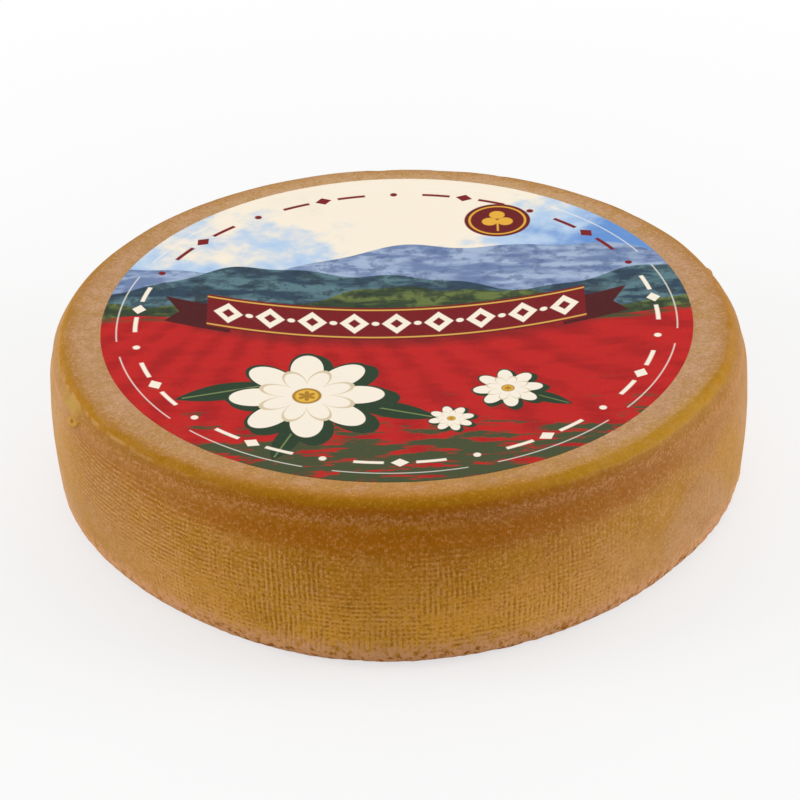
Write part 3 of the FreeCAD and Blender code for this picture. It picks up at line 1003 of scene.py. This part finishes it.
def print_border(p):
    """Dots round the edge, a lozenge between two dashes in each gap, and a fine ring."""
    n = p.n
    cream, maroon = colour(255, 243, 224), colour(122, 18, 22)
    gaps = 11
    turn = 2 * math.pi / gaps
    reach = 0.88
    bearing = n.math("ARCTAN2", p.u, n.times(p.v, -1))
    share = n.times(bearing, 1 / turn)
    nearest = n.math("ROUND", share)
    between = n.plus(n.math("FLOOR", share), 0.5)

    def ink_at(place):
        """Maroon for an ornament on the sky, cream for one lower down."""
        down = n.math("COSINE", n.times(place, turn))
        return n.mix(n.rise(down, -0.20, -0.24), cream, maroon)

    run = n.times(n.math("ABSOLUTE", n.minus(share, nearest)), turn * reach)
    rise = n.math("ABSOLUTE", n.minus(p.out, reach))
    to_dot = n.times(n.math("ABSOLUTE", n.minus(share, between)), turn * reach)
    dot = n.math("SQRT", n.plus(n.times(to_dot, to_dot), n.times(rise, rise)))
    p.lay(p.below(dot, 0.0125), ink_at(between))
    lozenge = n.plus(n.times(run, 1 / 0.030), n.times(rise, 1 / 0.024))
    p.lay(p.below(lozenge, 1.0, 0.12), ink_at(nearest))
    dash = n.times(p.below(run, 0.150), p.above(run, 0.052))
    p.lay(n.times(p.below(rise, 0.0075), dash), ink_at(nearest))
    ring = n.times(p.below(n.math("ABSOLUTE", n.minus(p.out, 0.943)), 0.0022), p.below(run, 0.205))
    p.lay(n.times(ring, 0.75), colour(255, 248, 236))


def label_material():
    """Coated paper, printed and rubbed a little dull."""
    n = MaterialNodes("printed_paper")
    p = Print(n)
    print_sky(p)
    print_hills(p)
    print_field(p)
    print_seal(p, 0.36, 0.68, 0.115)
    print_ribbon(p)
    print_leaf(p, -0.57, -0.42, 0.17, 0.25)
    print_leaf(p, -0.02, -0.56, 0.16, -0.35)
    print_leaf(p, -0.36, -0.72, 0.14, 1.2)
    print_flower(p, -0.30, -0.46, 0.255)
    print_leaf(p, 0.48, -0.50, 0.10, -0.5)
    print_flower(p, 0.36, -0.44, 0.115, 0.35)
    print_flower(p, 0.17, -0.62, 0.075, 0.9)
    print_border(p)
    fibres = n.noise(0.7 * MM, 3, 0.6, seed=4.4)
    inked = n.mix(n.times(n.rise(fibres, 0.5, 0.75), 0.015), p.ink, colour(255, 250, 240))
    wear = n.noise(30 * MM, 4, 0.6, seed=7.7)
    inked = n.mix(n.times(n.rise(wear, 0.55, 0.8), 0.08), inked, colour(90, 70, 50))
    cockle = n.plus(n.noise(22 * MM, 2, 0.5, seed=1.2), n.times(fibres, 0.012))
    return n.finish(
        Base_Color=inked,
        Normal=n.bump(cockle, 1.0 * MM, 0.35),
        Roughness=0.6,
        Specular_IOR_Level=0.12)


# ---------------------------------------------------------------------------------------------
# The studio
# ---------------------------------------------------------------------------------------------

WHITE = (1, 1, 1, 1)

FLOOR_WIDTH = 12
# The share of plain white in the floor that the eye sees, from close to the wheel to far off.
FLOOR_CLOSE, FLOOR_CLOSE_WHITE = 0.16, 0.68
FLOOR_FAR, FLOOR_FAR_WHITE = 0.55, 1.0

# The world's strength as a light on the wheel, and as the white that the eye sees.
WORLD_LIGHT, WORLD_WHITE = 0.42, 1.0

LAMP_AIM = Vector((0, 0, 0.04))
OVERHEAD_POWER = 9.7
SIDE_POWER = 16.5

CAMERA_DISTANCE = 13.0 * RADIUS
CAMERA_ELEVATION = math.radians(31.7)
CAMERA_ROLL = math.radians(-1.4)
CAMERA_LENS = 200.9
CAMERA_SENSOR = 36
# How far the camera is moved aside and up, in radii of the wheel.
CAMERA_ASIDE = 0.0043
CAMERA_UP = 0.0006


def seen_directly(n):
    """1 where a ray shows the studio itself, to the eye or in a shiny or clear surface."""
    rays = n.add("ShaderNodeLightPath").outputs
    seen = n.math("MAXIMUM", rays["Is Camera Ray"], rays["Is Glossy Ray"])
    return n.math("MAXIMUM", seen, rays["Is Transmission Ray"])


def floor_material():
    """A floor that looks white to the eye and keeps the wheel's shadow close round it."""
    n = MaterialNodes("pale_floor")
    material = n.finish(Base_Color=colour(243, 243, 243), Roughness=0.9, Specular_IOR_Level=0.0)
    out = n.vector_math("LENGTH", n.spot)["Value"]
    white = n.add("ShaderNodeMapRange", {"interpolation_type": "SMOOTHSTEP"}, Value=out,
                  From_Min=FLOOR_CLOSE, From_Max=FLOOR_FAR,
                  To_Min=FLOOR_CLOSE_WHITE, To_Max=FLOOR_FAR_WHITE).outputs[0]
    glow = n.add("ShaderNodeEmission", Color=WHITE, Strength=1.0)
    mix = n.add("ShaderNodeMixShader")
    for socket, value in zip(mix.inputs, (
            n.times(seen_directly(n), white), n.shader.outputs[0], glow.outputs[0])):
        n.set(socket, value)
    n.set(n.tree.nodes["Material Output"].inputs["Surface"], mix.outputs[0])
    return material


def build_studio():
    bpy.ops.object.select_all(action="DESELECT")
    bpy.ops.mesh.primitive_plane_add(size=FLOOR_WIDTH, location=(0, 0, 0))
    floor = bpy.context.object
    floor.name = "studio_floor"
    floor.data.materials.append(floor_material())

    world = bpy.data.worlds.new("studio")
    bpy.context.scene.world = world
    world.use_nodes = True
    n = Nodes(world.node_tree)
    strength = n.add("ShaderNodeMapRange", Value=seen_directly(n), To_Min=WORLD_LIGHT,
                     To_Max=WORLD_WHITE).outputs[0]
    background = n.tree.nodes["Background"]
    n.set(background.inputs["Color"], WHITE)
    n.set(background.inputs["Strength"], strength)


def softbox(name, place, size, power):
    """A wide lamp that looks at the wheel."""
    lamp = bpy.data.lights.new(name, "AREA")
    lamp.shape = "RECTANGLE"
    lamp.size, lamp.size_y = size
    lamp.energy = power
    holder = bpy.data.objects.new(name, lamp)
    bpy.context.collection.objects.link(holder)
    holder.location = place
    direction = LAMP_AIM - Vector(place)
    holder.rotation_euler = direction.to_track_quat("-Z", "Y").to_euler()


def build_lamps():
    softbox("overhead_box", (0.1, 0.5, 1.8), (1.6, 1.2), OVERHEAD_POWER)
    softbox("left_box", (-1.7, -0.1, 0.6), (1.0, 1.0), SIDE_POWER)
    softbox("right_box", (1.7, -0.1, 0.6), (1.0, 1.0), SIDE_POWER)


def build_camera():
    """A far camera in front, looking down at the middle of the wheel and a little rolled."""
    data = bpy.data.cameras.new("camera")
    data.lens = CAMERA_LENS
    data.sensor_width = CAMERA_SENSOR
    camera = bpy.data.objects.new("camera", data)
    bpy.context.collection.objects.link(camera)
    look = Vector((0, math.cos(CAMERA_ELEVATION), -math.sin(CAMERA_ELEVATION)))
    level_right = Vector((1, 0, 0))
    level_up = level_right.cross(look)
    right = level_right * math.cos(CAMERA_ROLL) + level_up * math.sin(CAMERA_ROLL)
    up = level_up * math.cos(CAMERA_ROLL) - level_right * math.sin(CAMERA_ROLL)
    place = Vector((0, 0, HEIGHT / 2)) - look * CAMERA_DISTANCE
    place += right * CAMERA_ASIDE * RADIUS + up * CAMERA_UP * RADIUS
    camera.matrix_world = Matrix((
        (right.x, up.x, -look.x, place.x),
        (right.y, up.y, -look.y, place.y),
        (right.z, up.z, -look.z, place.z),
        (0, 0, 0, 1),
    ))
    bpy.context.scene.camera = camera


# ---------------------------------------------------------------------------------------------
# Putting it together
# ---------------------------------------------------------------------------------------------

def main():
    wheel, blister = build_wheel()
    wheel.data.materials.append(rind_material(blister))
    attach(wheel, "root")
    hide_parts("cheese_wheel")

    label = build_label()
    label.data.materials.append(label_material())
    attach(label, "root")
    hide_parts("paper_label")

    build_studio()
    build_lamps()
    build_camera()
    bpy.context.scene.view_settings.view_transform = "Standard"


main()
